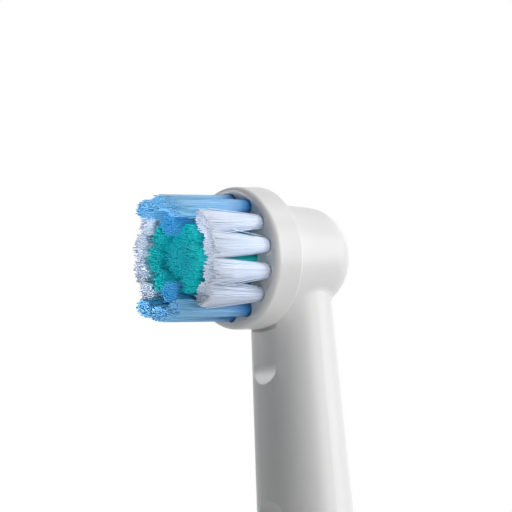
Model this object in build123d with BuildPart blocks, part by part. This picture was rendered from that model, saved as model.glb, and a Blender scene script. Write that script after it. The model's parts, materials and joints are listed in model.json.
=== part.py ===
"""Replacement head for an electric toothbrush, with a round disc that turns to and fro.

All sizes are in millimetres. Z runs up the neck along the drive shaft, and the origin is the
centre of the foot, on the plane that the head stands on. The bristles face -Y.
"""

import os
from math import asin, cos, pi, radians, sin, sqrt, tan

from build123d import *

# Foot of the neck, and the insert that takes the nose of the handle
SOCKET_R = 4.0
SOCKET_DEPTH = 15.3
INSERT_WALL = 0.8
INSERT_WEB = 1.6
KEY_SLOT_WIDTH = 1.6
KEY_SLOT_DEPTH = 0.4
KEY_SLOT_LENGTH = 8.0

# Coloured ring round the foot
SPIGOT_WALL = 0.9
RING_WALL = 0.6
RING_HEIGHT = 4.2
RING_PROUD = 0.12
RING_SEAM = 0.12
RING_ROUND = 0.2
BEAD_HEIGHT = 0.12
BEAD_WIDTH = 0.8

# Neck
HEAD_Z = 68.0
NECK_TOP_R = 3.9
NECK_WALL = 1.7
NECK_TOP_WALL = 1.3
BEARING_DROP = 11.0
BEARING_LENGTH = 3.0
DRUM_BLEND = 0.8

# Crescent scoops on the front of the neck, measured down from the axis of the disc
UPPER_SCOOP_DROP = 10.6
LOWER_SCOOP_DROP = 25.9
SCOOP_HEIGHT = 1.85
SCOOP_DEPTH = 0.4
SCOOP_EDGE = 0.12

# Tufted disc and the drum behind it, measured forward from the drive axis
DISC_R = 7.05
DISC_THICKNESS = 3.4
DISC_OFFSET = 4.0
DISC_FRONT_ROUND = 0.6
DISC_BACK_ROUND = 0.25
HEAD_GAP = 0.3
DRUM_R = 5.6
DRUM_WALL = 1.3
DRUM_DRAFT = 5.0
DRUM_ROUND = 3.5
DRUM_BACK_WALL = 1.2

# Pins, rod and crank
PIN_R = 0.8
PIN_SEAT = 2.4
PIN_REACH = 0.1
RETAINER_R = 0.5
GROOVE_DEPTH = 0.55
HUB_FLANGE = 0.6
HUB_SEAT = 0.6
ROD_R = 1.0
ROD_SEAT = 6.5
ROD_CHAMFER = 0.15
CRANK_WALL = 0.6
BALL_R = 0.8
FINGER_R = 0.5
FORK_WALL = 0.95
FORK_REACH = 0.6

# Stand of the disc, turned from the middle of its swing, and its turn for each turn of the crank
DISC_TURN = -5.6
DRIVE_RATIO = 0.9

# Coupling for the drive shaft of the handle
SHAFT_R = 1.95
SHAFT_FLAT = 1.4
SHAFT_DEPTH = 13.0
SHAFT_END_WALL = 1.2
COUPLING_WALL = 1.1
JOURNAL_WALL = 0.65
COLLAR_CATCH = 0.4
COLLAR_THICKNESS = 1.35
ROD_GRIP_WALL = 1.2
SPLIT_WIDTH = 0.6
SPLIT_LENGTH = 11.5
SPRING_THICKNESS = 0.3
SPRING_WIDTH = 4.0
SPRING_RISE = 5.6
SPRING_OPENING = 70.0

# Tufts: rings inward from the rim, and free lengths in front of the face of the disc
RIM_WIDTH = 1.5
RING_PITCH = 2.25
CENTRE_PITCH = 2.0
TUFT_SPACING = 2.45
CENTRE_SPACING = 1.8
BLUE_SECTOR = 30.0
HOLE_R = 0.775
HOLE_DEPTH = 2.2
TIP_CUT = 0.3
WHITE_LENGTH = 7.1
GREEN_LENGTH = 7.1
OUTER_BLUE_LENGTH = 9.4
INNER_BLUE_LENGTH = 7.9
WHITE_TIP_R = 1.05
GREEN_TIP_R = 0.95
CENTRE_TIP_R = 0.86
BLUE_TIP_R = 0.85
ANCHOR_HEIGHT = 1.0
ANCHOR_THICKNESS = 0.3
ANCHOR_TURN = 35.0

# Clearances
BEARING_FIT = 0.04
PIVOT_FIT = 0.03
FORK_FIT = 0.08
GROOVE_FIT = 0.1
TUFT_FIT = 0.025
SEAT_FIT = 0.02
END_PLAY = 0.15
COLLAR_GAP = 0.2
COUPLING_GAP = 0.85
MECHANISM_GAP = 0.4
HUB_GAP = 0.35
BALL_GAP = 0.25

# Heights along the neck
INSERT_TOP_Z = SOCKET_DEPTH + INSERT_WEB
COLLAR_Z = INSERT_TOP_Z + END_PLAY
SHOULDER_Z = COLLAR_Z + COLLAR_THICKNESS + END_PLAY
ROD_Z = SOCKET_DEPTH + SHAFT_DEPTH + SHAFT_END_WALL
COUPLING_TOP_Z = ROD_Z + ROD_SEAT
BEARING_TOP_Z = HEAD_Z - BEARING_DROP
BEARING_Z = BEARING_TOP_Z - BEARING_LENGTH

# Radii about the neck
INSERT_R = SOCKET_R + INSERT_WALL
SPIGOT_R = INSERT_R + SPIGOT_WALL
NECK_BASE_R = SPIGOT_R + RING_WALL
COUPLING_R = SHAFT_R + COUPLING_WALL
JOURNAL_R = SHAFT_R + JOURNAL_WALL
CORE_R = COUPLING_R + COUPLING_GAP
COLLAR_R = CORE_R + COLLAR_CATCH
TOP_CORE_R = NECK_TOP_R - NECK_TOP_WALL
CRANK_HUB_R = ROD_R + CRANK_WALL

# Reaches along the axis of the disc, forward of the drive axis
FACE = DISC_OFFSET + DISC_THICKNESS
DRUM_FRONT = DISC_OFFSET - HEAD_GAP
CUP_BACK = -(CRANK_HUB_R + MECHANISM_GAP)
PIN_BACK = CUP_BACK - PIN_SEAT
DRUM_BACK = PIN_BACK - DRUM_BACK_WALL
HUB_BACK = CUP_BACK + MECHANISM_GAP
GROOVE_BACK = HUB_BACK + HUB_FLANGE
GROOVE_FRONT = GROOVE_BACK + 2 * (RETAINER_R + GROOVE_FIT)
PIN_FRONT = DISC_OFFSET + PIN_REACH
HUB_FRONT = DISC_OFFSET + HUB_SEAT
BALL_REACH = DISC_OFFSET - BALL_R - BALL_GAP

# Radii about the axis of the disc
CUP_R = DRUM_R - DRUM_WALL
CRANK_DROP = CUP_R - BALL_R - MECHANISM_GAP
HUB_R = CRANK_DROP - BALL_R - HUB_GAP
GROOVE_R = HUB_R - GROOVE_DEPTH
RETAINER_X = -(GROOVE_R + GROOVE_FIT + RETAINER_R)
RETAINER_REACH = (GROOVE_FRONT + GROOVE_BACK) / 2
OUTER_RING_R = DISC_R - RIM_WIDTH
INNER_RING_R = OUTER_RING_R - RING_PITCH
CENTRE_RING_R = INNER_RING_R - CENTRE_PITCH

# The head plane faces forward from the drive axis, with its x to +X and its y up. The side
# plane cuts the part down the middle, with its x forward and its y up.
HEAD = Plane(origin=(0, 0, HEAD_Z), x_dir=(1, 0, 0), z_dir=(0, -1, 0))
HEAD_SIDE = Plane(origin=(0, 0, HEAD_Z), x_dir=(0, -1, 0), z_dir=(-1, 0, 0))
DISC_AXIS = Axis((0, 0, HEAD_Z), (0, -1, 0))

# Planes that stand turned with the disc, about its axis, and with the drive shaft, about Z
DISC_HEAD = HEAD.rotated((0, -DISC_TURN, 0))
SHAFT_TURN = DISC_TURN / DRIVE_RATIO
SHAFT_HEAD = HEAD.rotated((0, 0, SHAFT_TURN))
SHAFT_BASE = Plane.XY.rotated((0, 0, SHAFT_TURN))


def neck_radius(z):
    """Outer radius of the tapering neck at a height."""
    return NECK_BASE_R + (NECK_TOP_R - NECK_BASE_R) * z / HEAD_Z


def drum_radius(reach):
    """Outer radius of the drum, which narrows towards its back."""
    return DRUM_R - tan(radians(DRUM_DRAFT)) * (DRUM_FRONT - reach)


def scoop_outline(ledge_z, direction):
    """Half of a circle that leaves a flat ledge and runs out on the surface of the neck."""
    radius = (SCOOP_HEIGHT**2 + SCOOP_DEPTH**2) / (2 * SCOOP_DEPTH)
    surface = (neck_radius(ledge_z) + neck_radius(ledge_z + direction * SCOOP_HEIGHT)) / 2
    centre = surface - SCOOP_DEPTH + radius
    with BuildSketch(HEAD_SIDE) as outline:
        with Locations((centre, ledge_z - HEAD_Z)):
            Circle(radius)
            Rectangle(
                2 * radius,
                radius,
                align=(Align.CENTER, Align.MIN if direction > 0 else Align.MAX),
                mode=Mode.INTERSECT,
            )
    return outline.sketch


# Neck with the drum at its top
with BuildPart() as neck_shell:
    with BuildSketch(Plane.XZ):
        with BuildLine():
            Polyline(
                (0, 0),
                (SPIGOT_R, 0),
                (SPIGOT_R, (RING_HEIGHT - BEAD_WIDTH) / 2),
                (SPIGOT_R + BEAD_HEIGHT, RING_HEIGHT / 2),
                (SPIGOT_R, (RING_HEIGHT + BEAD_WIDTH) / 2),
                (SPIGOT_R, RING_HEIGHT),
                (neck_radius(RING_HEIGHT), RING_HEIGHT),
                (NECK_TOP_R, HEAD_Z),
                (0, HEAD_Z),
                close=True,
            )
        make_face()
    revolve(axis=Axis.Z)
    with BuildSketch(HEAD_SIDE):
        with BuildLine():
            FilletPolyline(
                (DRUM_BACK, 0),
                (DRUM_BACK, drum_radius(DRUM_BACK)),
                (DRUM_FRONT, DRUM_R),
                radius=DRUM_ROUND,
            )
            Polyline((DRUM_FRONT, DRUM_R), (DRUM_FRONT, 0), (DRUM_BACK, 0))
        make_face()
    revolve(axis=DISC_AXIS)
    seam = neck_shell.edges().filter_by(GeomType.BSPLINE)
    fillet(seam, DRUM_BLEND)
    # Room for the disc in front of the drum
    with BuildSketch(HEAD.offset(DRUM_FRONT)):
        Circle(DISC_R + HEAD_GAP)
    extrude(amount=DISC_THICKNESS, mode=Mode.SUBTRACT)
    # Cup for the hub and the crank, and the seat of the pivot pin
    with BuildSketch(HEAD.offset(CUP_BACK)):
        Circle(CUP_R)
    extrude(amount=DRUM_FRONT - CUP_BACK, mode=Mode.SUBTRACT)
    with BuildSketch(HEAD.offset(PIN_BACK)):
        Circle(PIN_R)
    extrude(amount=PIN_SEAT, mode=Mode.SUBTRACT)
    # Bore of the neck, from the foot up: insert, collar, coupling, rod bearing, crank
    with BuildSketch(Plane.XZ):
        with BuildLine():
            Polyline(
                (0, 0),
                (INSERT_R, 0),
                (INSERT_R, INSERT_TOP_Z),
                (COLLAR_R + COLLAR_GAP, INSERT_TOP_Z),
                (COLLAR_R + COLLAR_GAP, SHOULDER_Z),
                (CORE_R, SHOULDER_Z),
                (neck_radius(BEARING_Z) - NECK_WALL, BEARING_Z),
                (ROD_R + BEARING_FIT, BEARING_Z),
                (ROD_R + BEARING_FIT, BEARING_TOP_Z),
                (TOP_CORE_R, BEARING_TOP_Z),
                (TOP_CORE_R, HEAD_Z - CRANK_DROP),
                (0, HEAD_Z - CRANK_DROP),
                close=True,
            )
        make_face()
    revolve(axis=Axis.Z, mode=Mode.SUBTRACT)
    # Hole for the retaining pin, down through the top of the drum
    with BuildSketch(Plane.XY.offset(HEAD_Z)):
        with Locations((RETAINER_X, -RETAINER_REACH)):
            Circle(RETAINER_R)
    extrude(amount=DRUM_R, mode=Mode.SUBTRACT)
    for ledge_drop, direction in ((UPPER_SCOOP_DROP, -1), (LOWER_SCOOP_DROP, 1)):
        scoop = scoop_outline(HEAD_Z - ledge_drop, direction)
        extrude(scoop, amount=NECK_BASE_R, both=True, mode=Mode.SUBTRACT)
        fillet(neck_shell.edges(Select.NEW), SCOOP_EDGE)

neck_shell.part.label = "neck_shell"

# Coloured ring, snapped over the bead on the foot
with BuildPart() as marker_ring:
    ring_bore = SPIGOT_R + SEAT_FIT
    ring_top = RING_HEIGHT - RING_SEAM
    with BuildSketch(Plane.XZ):
        with BuildLine():
            Polyline(
                (ring_bore, 0),
                (NECK_BASE_R + RING_PROUD, 0),
                (neck_radius(ring_top) + RING_PROUD, ring_top),
                (ring_bore, ring_top),
                (ring_bore, (RING_HEIGHT + BEAD_WIDTH) / 2),
                (ring_bore + BEAD_HEIGHT, RING_HEIGHT / 2),
                (ring_bore, (RING_HEIGHT - BEAD_WIDTH) / 2),
                close=True,
            )
        make_face()
    revolve(axis=Axis.Z)
    rims = marker_ring.edges().filter_by(GeomType.CIRCLE).sort_by(SortBy.RADIUS)[-2:]
    fillet(rims, RING_ROUND)

marker_ring.part.label = "marker_ring"

# Insert in the foot: socket for the nose of the handle, and the coupling's lower bearing
with BuildPart() as base_insert:
    with BuildSketch(Plane.XZ):
        with BuildLine():
            Polyline(
                (SOCKET_R, 0),
                (INSERT_R, 0),
                (INSERT_R, INSERT_TOP_Z),
                (JOURNAL_R + BEARING_FIT, INSERT_TOP_Z),
                (JOURNAL_R + BEARING_FIT, SOCKET_DEPTH),
                (SOCKET_R, SOCKET_DEPTH),
                close=True,
            )
        make_face()
    revolve(axis=Axis.Z)
    with BuildSketch(Plane.XY):
        Rectangle(2 * (SOCKET_R + KEY_SLOT_DEPTH), KEY_SLOT_WIDTH)
    extrude(amount=KEY_SLOT_LENGTH, mode=Mode.SUBTRACT)

base_insert.part.label = "base_insert"

# Coupling: a split sleeve with a D-shaped socket below and the rod's seat above
SPRING_Z = SOCKET_DEPTH + SPRING_RISE
SPRING_BORE = COUPLING_R - SPRING_THICKNESS
with BuildPart() as drive_coupling:
    with BuildSketch(Plane.XZ):
        with BuildLine():
            Polyline(
                (0, SOCKET_DEPTH),
                (JOURNAL_R, SOCKET_DEPTH),
                (JOURNAL_R, COLLAR_Z),
                (COLLAR_R, COLLAR_Z),
                (COLLAR_R, COLLAR_Z + COLLAR_THICKNESS),
                (COUPLING_R, COLLAR_Z + COLLAR_THICKNESS),
                (COUPLING_R, SPRING_Z - SEAT_FIT),
                (SPRING_BORE, SPRING_Z - SEAT_FIT),
                (SPRING_BORE, SPRING_Z + SPRING_WIDTH + SEAT_FIT),
                (COUPLING_R, SPRING_Z + SPRING_WIDTH + SEAT_FIT),
                (COUPLING_R, ROD_Z),
                (ROD_R + ROD_GRIP_WALL, COUPLING_TOP_Z),
                (0, COUPLING_TOP_Z),
                close=True,
            )
        make_face()
    revolve(axis=Axis.Z)
    with BuildSketch(SHAFT_BASE.offset(SOCKET_DEPTH)):
        Circle(SHAFT_R)
        with Locations((0, SHAFT_FLAT)):
            Rectangle(
                2 * SHAFT_R,
                2 * SHAFT_R,
                align=(Align.CENTER, Align.MAX),
                mode=Mode.INTERSECT,
            )
    extrude(amount=SHAFT_DEPTH, mode=Mode.SUBTRACT)
    with BuildSketch(Plane.XY.offset(ROD_Z)):
        Circle(ROD_R)
    extrude(amount=ROD_SEAT, mode=Mode.SUBTRACT)
    with BuildSketch(SHAFT_BASE.offset(SOCKET_DEPTH)):
        Rectangle(3 * COLLAR_R, SPLIT_WIDTH)
    extrude(amount=SPLIT_LENGTH, mode=Mode.SUBTRACT)

drive_coupling.part.label = "drive_coupling"

# Open spring band round the split sleeve
with BuildPart() as grip_spring:
    with BuildSketch(SHAFT_BASE.offset(SPRING_Z)):
        half_opening = radians(SPRING_OPENING / 2)
        Circle(COUPLING_R)
        Circle(SPRING_BORE, mode=Mode.SUBTRACT)
        with BuildLine():
            Polyline(
                (0, 0),
                (2 * COUPLING_R * sin(half_opening), -2 * COUPLING_R * cos(half_opening)),
                (-2 * COUPLING_R * sin(half_opening), -2 * COUPLING_R * cos(half_opening)),
                close=True,
            )
        make_face(mode=Mode.SUBTRACT)
    extrude(amount=SPRING_WIDTH)

grip_spring.part.label = "grip_spring"

# Steel rod from the coupling to the crank
CRANK_TOP_Z = HEAD_Z - HUB_R - HUB_GAP
CRANK_Z = HEAD_Z - CUP_R + HEAD_GAP
with BuildPart() as drive_rod:
    with BuildSketch(Plane.XY.offset(ROD_Z)):
        Circle(ROD_R)
    extrude(amount=CRANK_TOP_Z - ROD_Z)
    chamfer(drive_rod.edges().filter_by(GeomType.CIRCLE), ROD_CHAMFER)

drive_rod.part.label = "drive_rod"

# Crank: a collar on the rod, with a ball-ended finger that stands in the fork of the disc
with BuildPart() as crank:
    with BuildSketch(Plane.XY.offset(CRANK_Z)):
        Circle(CRANK_HUB_R)
    extrude(amount=CRANK_TOP_Z - CRANK_Z)
    with BuildSketch(SHAFT_HEAD):
        with Locations((0, -CRANK_DROP)):
            Circle(FINGER_R)
    extrude(amount=BALL_REACH)
    with Locations(SHAFT_HEAD.from_local_coords((0, -CRANK_DROP, BALL_REACH))):
        Sphere(BALL_R)
    with BuildSketch(Plane.XY.offset(CRANK_Z)):
        Circle(ROD_R)
    extrude(amount=CRANK_TOP_Z - CRANK_Z, mode=Mode.SUBTRACT)

crank.part.label = "crank"

# Axle of the disc, pressed into the drum
with BuildPart() as pivot_pin:
    with BuildSketch(HEAD.offset(PIN_BACK)):
        Circle(PIN_R)
    extrude(amount=PIN_FRONT - PIN_BACK)
    chamfer(pivot_pin.edges().filter_by(GeomType.CIRCLE), ROD_CHAMFER)

pivot_pin.part.label = "pivot_pin"

# Pin beside the axle, in the groove of the hub, flush with the top of the drum
with BuildPart() as retaining_pin:
    outer_edge = RETAINER_X - RETAINER_R
    retainer_top = sqrt(drum_radius(RETAINER_REACH - RETAINER_R) ** 2 - outer_edge**2)
    with BuildSketch(Plane.XY.offset(HEAD_Z - GROOVE_R)):
        with Locations((RETAINER_X, -RETAINER_REACH)):
            Circle(RETAINER_R)
    extrude(amount=GROOVE_R + retainer_top)
    chamfer(retaining_pin.edges().filter_by(GeomType.CIRCLE), ROD_CHAMFER)

retaining_pin.part.label = "retaining_pin"


def tuft_ring(radius, spacing):
    """Angles of an even number of tufts on a ring, from the top round, no closer than spacing."""
    if radius < spacing / 2:
        return [90.0]
    pairs = int(pi / asin(spacing / (2 * radius)) / 2)
    return [90 + 180 * step / pairs for step in range(2 * pairs)]


def is_blue(angle):
    """True for the tufts near the top and the bottom of the disc."""
    return abs(sin(radians(angle))) >= cos(radians(BLUE_SECTOR))


def tuft_rows():
    """Name, place on the disc, free length and tip radius of every tuft."""
    rings = (
        (OUTER_RING_R, TUFT_SPACING, "white_tuft", WHITE_LENGTH, WHITE_TIP_R),
        (INNER_RING_R, TUFT_SPACING, "green_tuft", GREEN_LENGTH, GREEN_TIP_R),
        (CENTRE_RING_R, CENTRE_SPACING, "centre_tuft", GREEN_LENGTH, CENTRE_TIP_R),
    )
    blue = {
        "white_tuft": ("outer_blue_tuft", OUTER_BLUE_LENGTH, BLUE_TIP_R),
        "green_tuft": ("inner_blue_tuft", INNER_BLUE_LENGTH, BLUE_TIP_R),
    }
    count = {}
    rows = []
    for radius, spacing, *plain in rings:
        for angle in tuft_ring(radius, spacing):
            name, length, tip_r = blue.get(plain[0], plain) if is_blue(angle) else plain
            count[name] = count.get(name, 0) + 1
            place = (radius * cos(radians(angle)), radius * sin(radians(angle)))
            rows.append((f"{name}_{count[name]}", place, length, tip_r))
    return rows


TUFTS = tuft_rows()
TUFT_PLACES = [place for _, place, _, _ in TUFTS]
HOLE_FLOOR = FACE - HOLE_DEPTH

# Disc with its tuft holes, and the seat of the hub in its back
with BuildPart() as brush_disc:
    with BuildSketch(HEAD.offset(DISC_OFFSET)):
        Circle(DISC_R)
    extrude(amount=DISC_THICKNESS)
    rims = brush_disc.edges().filter_by(GeomType.CIRCLE).sort_by(Axis.Y)
    fillet(rims[0], DISC_FRONT_ROUND)
    fillet(rims[-1], DISC_BACK_ROUND)
    with BuildSketch(HEAD.offset(DISC_OFFSET)):
        Circle(HUB_R + SEAT_FIT)
    extrude(amount=HUB_SEAT, mode=Mode.SUBTRACT)
    with BuildSketch(DISC_HEAD.offset(FACE)):
        with Locations(*TUFT_PLACES):
            Circle(HOLE_R)
    extrude(amount=-HOLE_DEPTH, mode=Mode.SUBTRACT)

brush_disc.part.label = "brush_disc"

# Hub of the disc, which runs on the pivot pin, with the fork for the crank's ball
with BuildPart() as disc_hub:
    with BuildSketch(DISC_HEAD.offset(DISC_OFFSET)):
        fork_gap = BALL_R + FORK_FIT
        Circle(CUP_R - HEAD_GAP)
        Rectangle(
            2 * (fork_gap + FORK_WALL),
            2 * CUP_R,
            align=(Align.CENTER, Align.MAX),
            mode=Mode.INTERSECT,
        )
        Rectangle(2 * fork_gap, 2 * CUP_R, mode=Mode.SUBTRACT)
    extrude(amount=BALL_REACH - FORK_REACH - DISC_OFFSET)
    with BuildSketch(HEAD_SIDE):
        with BuildLine():
            Polyline(
                (HUB_FRONT, 0),
                (HUB_FRONT, HUB_R),
                (GROOVE_FRONT, HUB_R),
                (GROOVE_FRONT, GROOVE_R),
                (GROOVE_BACK, GROOVE_R),
                (GROOVE_BACK, HUB_R),
                (HUB_BACK, HUB_R),
                (HUB_BACK, 0),
                close=True,
            )
        make_face()
    revolve(axis=DISC_AXIS)
    with BuildSketch(HEAD.offset(HUB_BACK)):
        Circle(PIN_R + PIVOT_FIT)
    extrude(amount=PIN_FRONT + PIVOT_FIT - HUB_BACK, mode=Mode.SUBTRACT)

disc_hub.part.label = "disc_hub"

# Staples on the floors of the tuft holes
with BuildPart() as tuft_anchors:
    with BuildSketch(DISC_HEAD.offset(HOLE_FLOOR)):
        with Locations(*TUFT_PLACES):
            Rectangle(
                2 * sqrt((HOLE_R - SEAT_FIT) ** 2 - (ANCHOR_THICKNESS / 2) ** 2),
                ANCHOR_THICKNESS,
                rotation=ANCHOR_TURN,
            )
    extrude(amount=ANCHOR_HEIGHT)

tuft_anchors.part.label = "tuft_anchors"


def make_tuft(place, length, tip_r):
    """A bundle of bristles, which stands on its staple and spreads from the hole to its tip."""
    face_r = HOLE_R - TUFT_FIT
    depth = HOLE_DEPTH - ANCHOR_HEIGHT
    root_r = face_r - (tip_r - face_r) / length * depth
    origin = DISC_HEAD.from_local_coords((*place, FACE))
    side = Plane(origin, x_dir=HEAD_SIDE.x_dir, z_dir=HEAD_SIDE.z_dir)
    with BuildPart() as tuft:
        with BuildSketch(side):
            with BuildLine():
                Polyline(
                    (-depth, 0),
                    (-depth, root_r),
                    (length - TIP_CUT, tip_r),
                    (length, tip_r - TIP_CUT),
                    (length, 0),
                    close=True,
                )
            make_face()
        revolve(axis=Axis(origin, DISC_AXIS.direction))
    return tuft


os.makedirs("parts", exist_ok=True)
for piece in (
    neck_shell,
    marker_ring,
    base_insert,
    drive_coupling,
    grip_spring,
    drive_rod,
    crank,
    pivot_pin,
    retaining_pin,
    brush_disc,
    disc_hub,
    tuft_anchors,
):
    export_step(piece.part, f"parts/{piece.part.label}.step")
for name, place, length, tip_r in TUFTS:
    tuft = make_tuft(place, length, tip_r)
    tuft.part.label = name
    export_step(tuft.part, f"parts/{name}.step")
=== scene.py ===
"""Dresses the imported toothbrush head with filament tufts, plastics and steel, in a white studio."""

import json
import random
from math import atan, cos, pi, radians, sin, sqrt
from typing import NamedTuple

import bpy
from mathutils import Matrix, Vector


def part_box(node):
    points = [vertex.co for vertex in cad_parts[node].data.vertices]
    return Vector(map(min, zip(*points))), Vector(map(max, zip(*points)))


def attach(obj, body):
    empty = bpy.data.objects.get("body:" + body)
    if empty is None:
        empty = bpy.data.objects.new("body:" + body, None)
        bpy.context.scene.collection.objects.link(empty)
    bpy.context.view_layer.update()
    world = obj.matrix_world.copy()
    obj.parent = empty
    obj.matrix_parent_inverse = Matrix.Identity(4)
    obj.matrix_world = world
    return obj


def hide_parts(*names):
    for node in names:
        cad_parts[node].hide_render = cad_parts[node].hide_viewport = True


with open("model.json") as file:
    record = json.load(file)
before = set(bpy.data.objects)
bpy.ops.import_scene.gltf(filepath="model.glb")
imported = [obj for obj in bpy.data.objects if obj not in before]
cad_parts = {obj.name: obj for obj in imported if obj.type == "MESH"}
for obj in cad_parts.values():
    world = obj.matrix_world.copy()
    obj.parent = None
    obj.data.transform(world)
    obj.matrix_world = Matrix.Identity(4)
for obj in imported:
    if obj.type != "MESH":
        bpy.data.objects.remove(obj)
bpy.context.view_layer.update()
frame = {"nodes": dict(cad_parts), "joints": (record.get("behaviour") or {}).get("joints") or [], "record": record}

MM = 0.001
SEED = 7
WHITE = (1, 1, 1, 1)

# The disc's axis crosses the drive axis here
HEAD = Vector(next(joint["pos_m"] for joint in frame["joints"] if joint["name"] == "disc_turn"))

# Tufts: most filaments fill the tuft evenly, the others close it along its edge, and a few stray
FILAMENTS = 500
CORE_SHARE = 0.78
STRAY_SHARE = 0.08
STRAY_REACH = 0.75 * MM
STRAY_DROP = 0.5 * MM
ROOT_R = 0.62 * MM
GOLDEN_ANGLE = pi * (3 - sqrt(5))
TURN_JITTER = 0.03
BOW_SHARE = 0.4

# One filament: the shares of its length at which rings stand, and the small ring that rounds its end
FILAMENT_R = 0.05 * MM
FILAMENT_SIDES = 4
RING_SHARES = (0.0, 0.3, 0.65)
END_RING_BACK = 0.3
END_RING_WIDTH = 0.7

# Noise keeps nearly within this range
NOISE_RANGE = (0.3, 0.7)

# Plastic: a cloud in its colour, a varying gloss and a grain
CLOUD_SCALE = 160
GLOSS_SCALE = 900
GRAIN_SCALE = 1100
GRAIN_DETAIL = 1.0
GRAIN_DEPTH = 0.01 * MM
PLASTIC_IOR = 1.49

# Metal: marks that are drawn out along one axis
MARK_SCALE = 6000
MARK_DETAIL = 4.0
MARK_STRETCH = 0.04
MARK_STRENGTH = 0.15
MARK_DEPTH = 0.004 * MM

# Nylon: its colour runs from the disc's face to just past the longest tips
COLOUR_START_Y = -7.4 * MM
COLOUR_END_Y = -17.2 * MM
MIDDLE_SHARE = 0.3
SHADE_RANGE = (0.95, 1.05)
NYLON_GLOSS_SCALE = 2500
NYLON_ROUGHNESS = (0.3, 0.42)
NYLON_IOR = 1.53
NYLON_SPECULAR = 0.3

# Distances from the disc's axis between which the painted shade of the inner rings sets in: their tufts stand
# lower, so a darker colour towards their tips stands in for the shade they lie in
INNER_SHADE_RS = (4.5 * MM, 3.9 * MM)

# Camera: a long lens, a little under the head, tipped so that the bristles lie level
AZIMUTH = 49.7
ELEVATION = -4.6
ROLL = 3.87
DISTANCE = 350 * MM
FIELD = 51.2 * MM
SENSOR = 36.0
NEAREST = 10 * MM
LEFT_OF_AXIS = 3.175 * MM
ABOVE_AXIS = 0.23 * MM

# Narrow lamps: one aims at the tips of the tufts, the other at the sides of the near ones
TIPS = HEAD + Vector((-0.4 * MM, -15 * MM, 0.8 * MM))
NEAR_SIDE = HEAD + Vector((3.6 * MM, -11.9 * MM, 0))
SPOT_BLEND = 0.3
SPOT_R = 2 * MM

# Floor: two pale tones, which fade to the background's white between two distances from the object
FLOOR_TONES = ((0.89, 0.89, 0.89), (0.91, 0.91, 0.91))
FLOOR_TONE_SCALE = 30
FLOOR_ROUGHNESS = 0.7
FADE_START = 60 * MM
FADE_END = 250 * MM
FADE_LEAST = 0.6


class TuftKind(NamedTuple):
    """How one kind of tuft spreads from its hole, in millimetres.

    Its tips spread by outward_r away from the disc's axis and by along_r along their ring. They
    lean outward by lean and reach past the solid tuft by reach. Their lengths differ by up to
    uneven, and loose is how far they lie from an even spread.
    """

    outward_r: float
    along_r: float
    lean: float
    reach: float
    uneven: float
    loose: float


TUFT_KINDS = {
    "white_tuft": TuftKind(
        outward_r=0.88, along_r=1.27, lean=0, reach=0.28, uneven=0.9, loose=0.03
    ),
    "outer_blue_tuft": TuftKind(
        outward_r=0.7, along_r=1.05, lean=-0.15, reach=0, uneven=1.2, loose=0.05
    ),
    "inner_blue_tuft": TuftKind(
        outward_r=1.0, along_r=1.15, lean=0, reach=0.1, uneven=0.8, loose=0.045
    ),
    "green_tuft": TuftKind(
        outward_r=1.05, along_r=1.25, lean=-0.25, reach=0.2, uneven=0.9, loose=0.03
    ),
    "centre_tuft": TuftKind(
        outward_r=1.2, along_r=1.2, lean=0, reach=-0.3, uneven=0.7, loose=0.03
    ),
}

random.seed(SEED)
scene = bpy.context.scene
nodes = frame["nodes"]


def set_inputs(tree, node, inputs):
    """Links each input of a node to a socket, or sets it to a value."""
    for key, value in inputs.items():
        if isinstance(value, bpy.types.NodeSocket):
            tree.links.new(value, node.inputs[key])
        else:
            node.inputs[key].default_value = value


def add_node(tree, kind, inputs=None, **settings):
    """A new node in a tree, with its settings and its inputs."""
    node = tree.nodes.new(kind)
    for key, value in settings.items():
        setattr(node, key, value)
    set_inputs(tree, node, inputs or {})
    return node


def shader_tree(name):
    """A new material with its tree and its Principled shader."""
    material = bpy.data.materials.new(name)
    material.use_nodes = True
    tree = material.node_tree
    return material, tree, tree.nodes["Principled BSDF"]


def object_place(tree):
    """Place in the object's own space."""
    return add_node(tree, "ShaderNodeTexCoord").outputs["Object"]


def noise(tree, scale, detail=3.0, stretch=(1, 1, 1)):
    """Noise in the object's own space, with its features 1/scale metres wide."""
    place = add_node(tree, "ShaderNodeMapping", {"Vector": object_place(tree), "Scale": stretch})
    inputs = {"Vector": place.outputs["Vector"], "Scale": scale, "Detail": detail}
    return add_node(tree, "ShaderNodeTexNoise", inputs).outputs["Fac"]


def map_range(tree, value, start, end, low=0.0, high=1.0, **settings):
    """Maps the range from start to end to the range from low to high."""
    inputs = {"Value": value, "From Min": start, "From Max": end, "To Min": low, "To Max": high}
    return add_node(tree, "ShaderNodeMapRange", inputs, **settings).outputs["Result"]


def spread(tree, value, low=0.0, high=1.0):
    """Maps noise, which keeps near its middle, to the range from low to high."""
    return map_range(tree, value, *NOISE_RANGE, low, high)


def combine(tree, operation, first, second):
    """Result of an operation on two values, such as MULTIPLY."""
    node = add_node(tree, "ShaderNodeMath", {0: first, 1: second}, operation=operation)
    return node.outputs["Value"]


def mix_colours(tree, factor, first, second):
    """Mixes two colours, or a socket and a colour, by a factor."""
    inputs = {"Factor": factor}
    for side, colour in (("A", first), ("B", second)):
        inputs[side] = (*colour, 1) if isinstance(colour, tuple) else colour
    return add_node(tree, "ShaderNodeMix", inputs, data_type="RGBA").outputs["Result"]


def mix_shaders(tree, factor, first, second):
    """Mixes two shaders by a factor."""
    inputs = {"Fac": factor, 1: first, 2: second}
    return add_node(tree, "ShaderNodeMixShader", inputs).outputs["Shader"]


def bump(tree, height, strength, depth):
    """Normal of a surface that a height texture raises."""
    inputs = {"Height": height, "Strength": strength, "Distance": depth}
    return add_node(tree, "ShaderNodeBump", inputs).outputs["Normal"]


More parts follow.
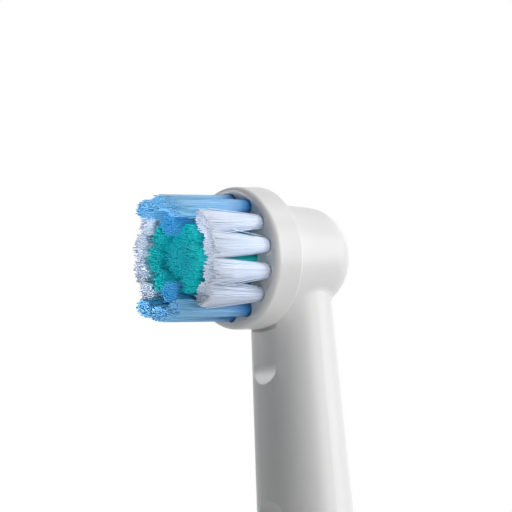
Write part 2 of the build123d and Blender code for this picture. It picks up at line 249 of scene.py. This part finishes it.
def moulded_plastic(name, colours, roughness, grain_strength):
    """Moulding with a faint cloud in its colour, a varying gloss and a fine grain."""
    material, tree, shader = shader_tree(name)
    cloud = spread(tree, noise(tree, CLOUD_SCALE))
    gloss = spread(tree, noise(tree, GLOSS_SCALE), *roughness)
    grain = noise(tree, GRAIN_SCALE, GRAIN_DETAIL)
    inputs = {
        "Base Color": mix_colours(tree, cloud, *colours),
        "Roughness": gloss,
        "Normal": bump(tree, grain, grain_strength, GRAIN_DEPTH),
        "IOR": PLASTIC_IOR,
    }
    set_inputs(tree, shader, inputs)
    return material


def drawn_metal(name, colours, along, roughness):
    """Metal with fine marks along one axis of the part."""
    material, tree, shader = shader_tree(name)
    stretch = tuple(MARK_STRETCH if axis == along else 1.0 for axis in "XYZ")
    marks = noise(tree, MARK_SCALE, MARK_DETAIL, stretch)
    inputs = {
        "Base Color": mix_colours(tree, spread(tree, marks), *colours),
        "Roughness": spread(tree, marks, *roughness),
        "Normal": bump(tree, marks, MARK_STRENGTH, MARK_DEPTH),
        "Metallic": 1.0,
    }
    set_inputs(tree, shader, inputs)
    return material


def distance_from_disc_axis(tree, place):
    """Distance of a place from the disc's axis, which runs along Y through the head."""
    flat = add_node(tree, "ShaderNodeVectorMath", {0: place, 1: (1, 0, 1)}, operation="MULTIPLY")
    inputs = {0: flat.outputs["Vector"], 1: HEAD}
    return add_node(tree, "ShaderNodeVectorMath", inputs, operation="DISTANCE").outputs["Value"]


def nylon(name, inner_shade, root, middle, tip, clear, inner_shade_rs=INNER_SHADE_RS):
    """Filaments: each has its own shade, and the colour changes from the hole to the tip.

    The tufts of the inner rings take a darker colour towards their tips. This is painted shade, because these
    tufts stand lower than the outer ones.
    """
    material, tree, shader = shader_tree(name)
    place = object_place(tree)
    height = add_node(tree, "ShaderNodeSeparateXYZ", {"Vector": place}).outputs["Y"]
    along = map_range(tree, height, COLOUR_START_Y, COLOUR_END_Y)
    ramp = add_node(tree, "ShaderNodeValToRGB", {"Fac": along})
    stops = ramp.color_ramp.elements
    stops[0].color = (*root, 1)
    stops[1].color = (*tip, 1)
    stops.new(MIDDLE_SHARE).color = (*middle, 1)
    # Painted shade: within the inner rings the colour darkens towards the tips, where these lower tufts lie in
    # shade
    inside = map_range(tree, distance_from_disc_axis(tree, place), *inner_shade_rs)
    inner_shade_weight = combine(tree, "MULTIPLY", inside, along)
    colour = mix_colours(tree, inner_shade_weight, ramp.outputs["Color"], inner_shade)
    own = add_node(tree, "ShaderNodeNewGeometry").outputs["Random Per Island"]
    own_shade = {"Value": map_range(tree, own, 0, 1, *SHADE_RANGE), "Color": colour}
    inputs = {
        "Base Color": add_node(tree, "ShaderNodeHueSaturation", own_shade).outputs["Color"],
        "Roughness": spread(tree, noise(tree, NYLON_GLOSS_SCALE), *NYLON_ROUGHNESS),
        "IOR": NYLON_IOR,
        "Specular IOR Level": NYLON_SPECULAR,
        "Transmission Weight": clear,
    }
    set_inputs(tree, shader, inputs)
    return material


MATERIALS = {
    "white_plastic": moulded_plastic(
        "white_plastic",
        colours=((0.81, 0.81, 0.805), (0.82, 0.82, 0.82)),
        roughness=(0.29, 0.33),
        grain_strength=0.02,
    ),
    "inner_plastic": moulded_plastic(
        "inner_plastic",
        colours=((0.70, 0.70, 0.67), (0.76, 0.76, 0.74)),
        roughness=(0.42, 0.55),
        grain_strength=0.12,
    ),
    "ring_blue": moulded_plastic(
        "ring_blue",
        colours=((0.10, 0.33, 0.66), (0.13, 0.38, 0.71)),
        roughness=(0.29, 0.36),
        grain_strength=0.05,
    ),
    "steel": drawn_metal(
        "steel",
        colours=((0.52, 0.53, 0.55), (0.66, 0.67, 0.68)),
        along="Z",
        roughness=(0.29, 0.40),
    ),
    "anchor_brass": drawn_metal(
        "anchor_brass",
        colours=((0.62, 0.47, 0.22), (0.74, 0.59, 0.32)),
        along="Y",
        roughness=(0.29, 0.42),
    ),
    "bristle_white": nylon(
        "bristle_white",
        inner_shade=(0.72, 0.81, 0.985),
        root=(0.72, 0.81, 0.985),
        middle=(0.63, 0.75, 0.965),
        tip=(0.88, 0.92, 0.985),
        clear=0.2,
    ),
    "bristle_blue": nylon(
        "bristle_blue",
        # Painted shade: the darker blue that the inner tufts take towards their tips
        inner_shade=(0.012, 0.35, 0.66),
        root=(0.04, 0.28, 0.70),
        middle=(0.21, 0.56, 0.93),
        tip=(0.30, 0.69, 0.98),
        clear=0.1,
    ),
    "bristle_green": nylon(
        "bristle_green",
        # Painted shade: the darker teal that the inner green and centre tufts take towards their tips
        inner_shade=(0.001, 0.34, 0.43),
        # Painted light: the bright teal at the roots stands in for light that reaches them through the white tufts
        root=(0.01, 0.80, 0.80),
        middle=(0.004, 0.58, 0.63),
        tip=(0.004, 0.56, 0.57),
        clear=0.05,
        inner_shade_rs=(4.2 * MM, 2.0 * MM),
    ),
}
node_slots = {row["node"]: row["material_slot"] for row in frame["record"]["subparts"]}
for name, node in nodes.items():
    node.data.materials.clear()
    node.data.materials.append(MATERIALS[node_slots[name]])


def add_filament(points, faces, root, tip, bow):
    """Appends one filament with a rounded end, which runs from root to tip in a slight bow."""
    first = len(points)
    round_off = FILAMENT_R / (tip - root).length
    rings = [(share, 1.0) for share in RING_SHARES]
    rings += [(1 - round_off, 1.0), (1 - END_RING_BACK * round_off, END_RING_WIDTH)]
    for share, width in rings:
        centre = root.lerp(tip, share) + bow * (4 * share * (1 - share))
        reach = FILAMENT_R * width
        for side in range(FILAMENT_SIDES):
            turn = 2 * pi * side / FILAMENT_SIDES
            points.append(centre + Vector((reach * cos(turn), 0, reach * sin(turn))))
    points.append(tip)
    faces.append([first + side for side in range(FILAMENT_SIDES)])
    for ring in range(len(rings) - 1):
        low = first + ring * FILAMENT_SIDES
        high = low + FILAMENT_SIDES
        for side in range(FILAMENT_SIDES):
            after = (side + 1) % FILAMENT_SIDES
            faces.append([low + side, high + side, high + after, low + after])
    last = first + (len(rings) - 1) * FILAMENT_SIDES
    for side in range(FILAMENT_SIDES):
        faces.append([last + side, len(points) - 1, last + (side + 1) % FILAMENT_SIDES])


def make_bundle(node, kind):
    """The filaments of one tuft, a core in a closed skin, which fan out from its hole to their tips."""
    outward_r, along_r, lean, reach, uneven, loose = (size * MM for size in kind)
    low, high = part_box(node)
    centre = (low + high) / 2
    outward = Vector((centre.x - HEAD.x, 0, centre.z - HEAD.z)).normalized()
    along = Vector((-outward.z, 0, outward.x))
    bowed = BOW_SHARE * loose
    points, faces = [], []
    for k in range(FILAMENTS):
        share = min(1.0, sqrt((k + 0.5) / (CORE_SHARE * FILAMENTS)))
        turn = k * GOLDEN_ANGLE + random.uniform(-TURN_JITTER, TURN_JITTER)
        part_out = share * cos(turn)
        part_along = share * sin(turn)
        root = Vector((centre.x, high.y, centre.z))
        root += ROOT_R * (part_out * outward + part_along * along)
        drop = uneven * random.random()
        tip = Vector((centre.x, low.y - reach + drop, centre.z))
        tip += outward * (lean + part_out * outward_r + random.gauss(0, loose))
        tip += along * (part_along * along_r + random.gauss(0, loose))
        bow = random.gauss(0, bowed) * outward + random.gauss(0, bowed) * along
        if random.random() < STRAY_SHARE:
            tip += random.uniform(-1, 1) * STRAY_REACH * along
            tip.y += random.uniform(0, STRAY_DROP)
        add_filament(points, faces, root, tip, bow)
    mesh = bpy.data.meshes.new(f"bristles_{node}")
    mesh.from_pydata(points, [], faces)
    mesh.polygons.foreach_set("use_smooth", [True] * len(mesh.polygons))
    mesh.materials.append(MATERIALS[node_slots[node]])
    bundle = bpy.data.objects.new(mesh.name, mesh)
    scene.collection.objects.link(bundle)
    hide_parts(node)
    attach(bundle, "brush")


for name in sorted(nodes):
    kind = name.rsplit("_", 1)[0]
    if kind in TUFT_KINDS:
        make_bundle(name, TUFT_KINDS[kind])


def direction(azimuth, elevation):
    """Unit vector towards a place seen at an azimuth, 0 in front of the bristles, and an elevation."""
    a, e = radians(azimuth), radians(elevation)
    return Vector((sin(a) * cos(e), -cos(a) * cos(e), sin(e)))


def add_camera():
    """Camera at the photo's angle, with the whole picture FIELD wide at the drive axis."""
    back = direction(AZIMUTH, ELEVATION)
    level = Vector((cos(radians(AZIMUTH)), sin(radians(AZIMUTH)), 0))
    upright = back.cross(level)
    right = level * cos(radians(ROLL)) - upright * sin(radians(ROLL))
    up = level * sin(radians(ROLL)) + upright * cos(radians(ROLL))
    place = HEAD - LEFT_OF_AXIS * right + ABOVE_AXIS * up + DISTANCE * back
    lens = bpy.data.cameras.new("camera")
    lens.sensor_width = SENSOR
    lens.lens = SENSOR * DISTANCE / FIELD
    lens.clip_start = NEAREST
    camera = bpy.data.objects.new("camera", lens)
    scene.collection.objects.link(camera)
    turn = Matrix((right, up, back)).transposed().to_4x4()
    camera.matrix_world = Matrix.Translation(place) @ turn
    scene.camera = camera


def add_lamp(name, kind, target, azimuth, elevation, distance, power):
    """Lamp that faces a target, and that the camera doesn't see."""
    light = bpy.data.lights.new(name, kind)
    light.energy = power
    lamp = bpy.data.objects.new(name, light)
    scene.collection.objects.link(lamp)
    towards = direction(azimuth, elevation)
    turn = towards.to_track_quat("Z", "Y").to_matrix().to_4x4()
    lamp.matrix_world = Matrix.Translation(target + distance * towards) @ turn
    lamp.visible_camera = False
    return lamp


def add_softbox(name, azimuth, elevation, distance, size, power):
    """Square lamp that faces the head."""
    box = add_lamp(name, "AREA", HEAD, azimuth, elevation, distance, power)
    box.data.size = size
    return box


def add_card(name, azimuth, elevation, distance, width, height, power):
    """Tall white card that shows in gloss alone."""
    card = add_softbox(name, azimuth, elevation, distance, width, power)
    card.data.shape = "RECTANGLE"
    card.data.size_y = height
    card.visible_diffuse = False


def add_spot(name, target, azimuth, elevation, distance, beam_r, power):
    """Narrow lamp on the bristles, with a beam of radius beam_r at its target."""
    spot = add_lamp(name, "SPOT", target, azimuth, elevation, distance, power)
    spot.data.spot_size = 2 * atan(beam_r / distance)
    spot.data.spot_blend = SPOT_BLEND
    spot.data.shadow_soft_size = SPOT_R


def rays_that_see_white(tree):
    """1 for camera, glossy and transmission rays, which see the white background."""
    rays = add_node(tree, "ShaderNodeLightPath").outputs
    value = rays["Is Camera Ray"]
    for other in ("Is Glossy Ray", "Is Transmission Ray"):
        value = combine(tree, "MAXIMUM", value, rays[other])
    return value


def add_world(fill):
    """White to the eye, and a soft fill on the object."""
    world = bpy.data.worlds.new("studio")
    scene.world = world
    world.use_nodes = True
    tree = world.node_tree
    seen = tree.nodes["Background"]
    set_inputs(tree, seen, {"Color": WHITE})
    light = add_node(tree, "ShaderNodeBackground", {"Color": WHITE, "Strength": fill})
    white_or_fill = mix_shaders(
        tree, rays_that_see_white(tree), light.outputs["Background"], seen.outputs["Background"]
    )
    set_inputs(tree, tree.nodes["World Output"], {"Surface": white_or_fill})


def floor_material():
    """Pale surface that fades to the white of the background away from the object."""
    material, tree, shader = shader_tree("floor")
    tone = spread(tree, noise(tree, FLOOR_TONE_SCALE))
    inputs = {"Base Color": mix_colours(tree, tone, *FLOOR_TONES), "Roughness": FLOOR_ROUGHNESS}
    set_inputs(tree, shader, inputs)
    away = add_node(tree, "ShaderNodeVectorMath", {0: object_place(tree)}, operation="LENGTH")
    fade = map_range(
        tree,
        away.outputs["Value"],
        FADE_START,
        FADE_END,
        low=FADE_LEAST,
        interpolation_type="SMOOTHSTEP",
    )
    factor = combine(tree, "MULTIPLY", fade, rays_that_see_white(tree))
    white = add_node(tree, "ShaderNodeEmission").outputs["Emission"]
    faded = mix_shaders(tree, factor, shader.outputs["BSDF"], white)
    set_inputs(tree, tree.nodes["Material Output"], {"Surface": faded})
    return material


def add_floor(half_width):
    """Square floor that the part stands on."""
    mesh = bpy.data.meshes.new("floor")
    corners = [(-1, -1), (1, -1), (1, 1), (-1, 1)]
    mesh.from_pydata([(half_width * x, half_width * y, 0) for x, y in corners], [], [(0, 1, 2, 3)])
    mesh.materials.append(floor_material())
    floor = bpy.data.objects.new("floor", mesh)
    scene.collection.objects.link(floor)


add_camera()
add_world(fill=0.005)
add_floor(half_width=3.0)
add_softbox("key", azimuth=AZIMUTH + 78, elevation=0, distance=0.45, size=0.55, power=2.6)
add_softbox("top", azimuth=AZIMUTH + 80, elevation=66, distance=0.4, size=0.35, power=0.84)
add_softbox("front", azimuth=AZIMUTH - 106, elevation=26, distance=0.48, size=0.13, power=0.13)
add_card(
    "scoop_card",
    azimuth=AZIMUTH - 100,
    elevation=28.5,
    distance=0.48,
    width=0.16,
    height=0.3,
    power=0.9,
)
add_spot(
    "tip_light",
    TIPS,
    azimuth=AZIMUTH - 71,
    elevation=-21,
    distance=0.18,
    beam_r=6.6 * MM,
    power=2.25,
)
add_spot(
    "side_light",
    NEAR_SIDE,
    azimuth=AZIMUTH + 10,
    elevation=4,
    distance=0.35,
    beam_r=5.7 * MM,
    power=1.4,
)

scene.view_settings.view_transform = "Standard"
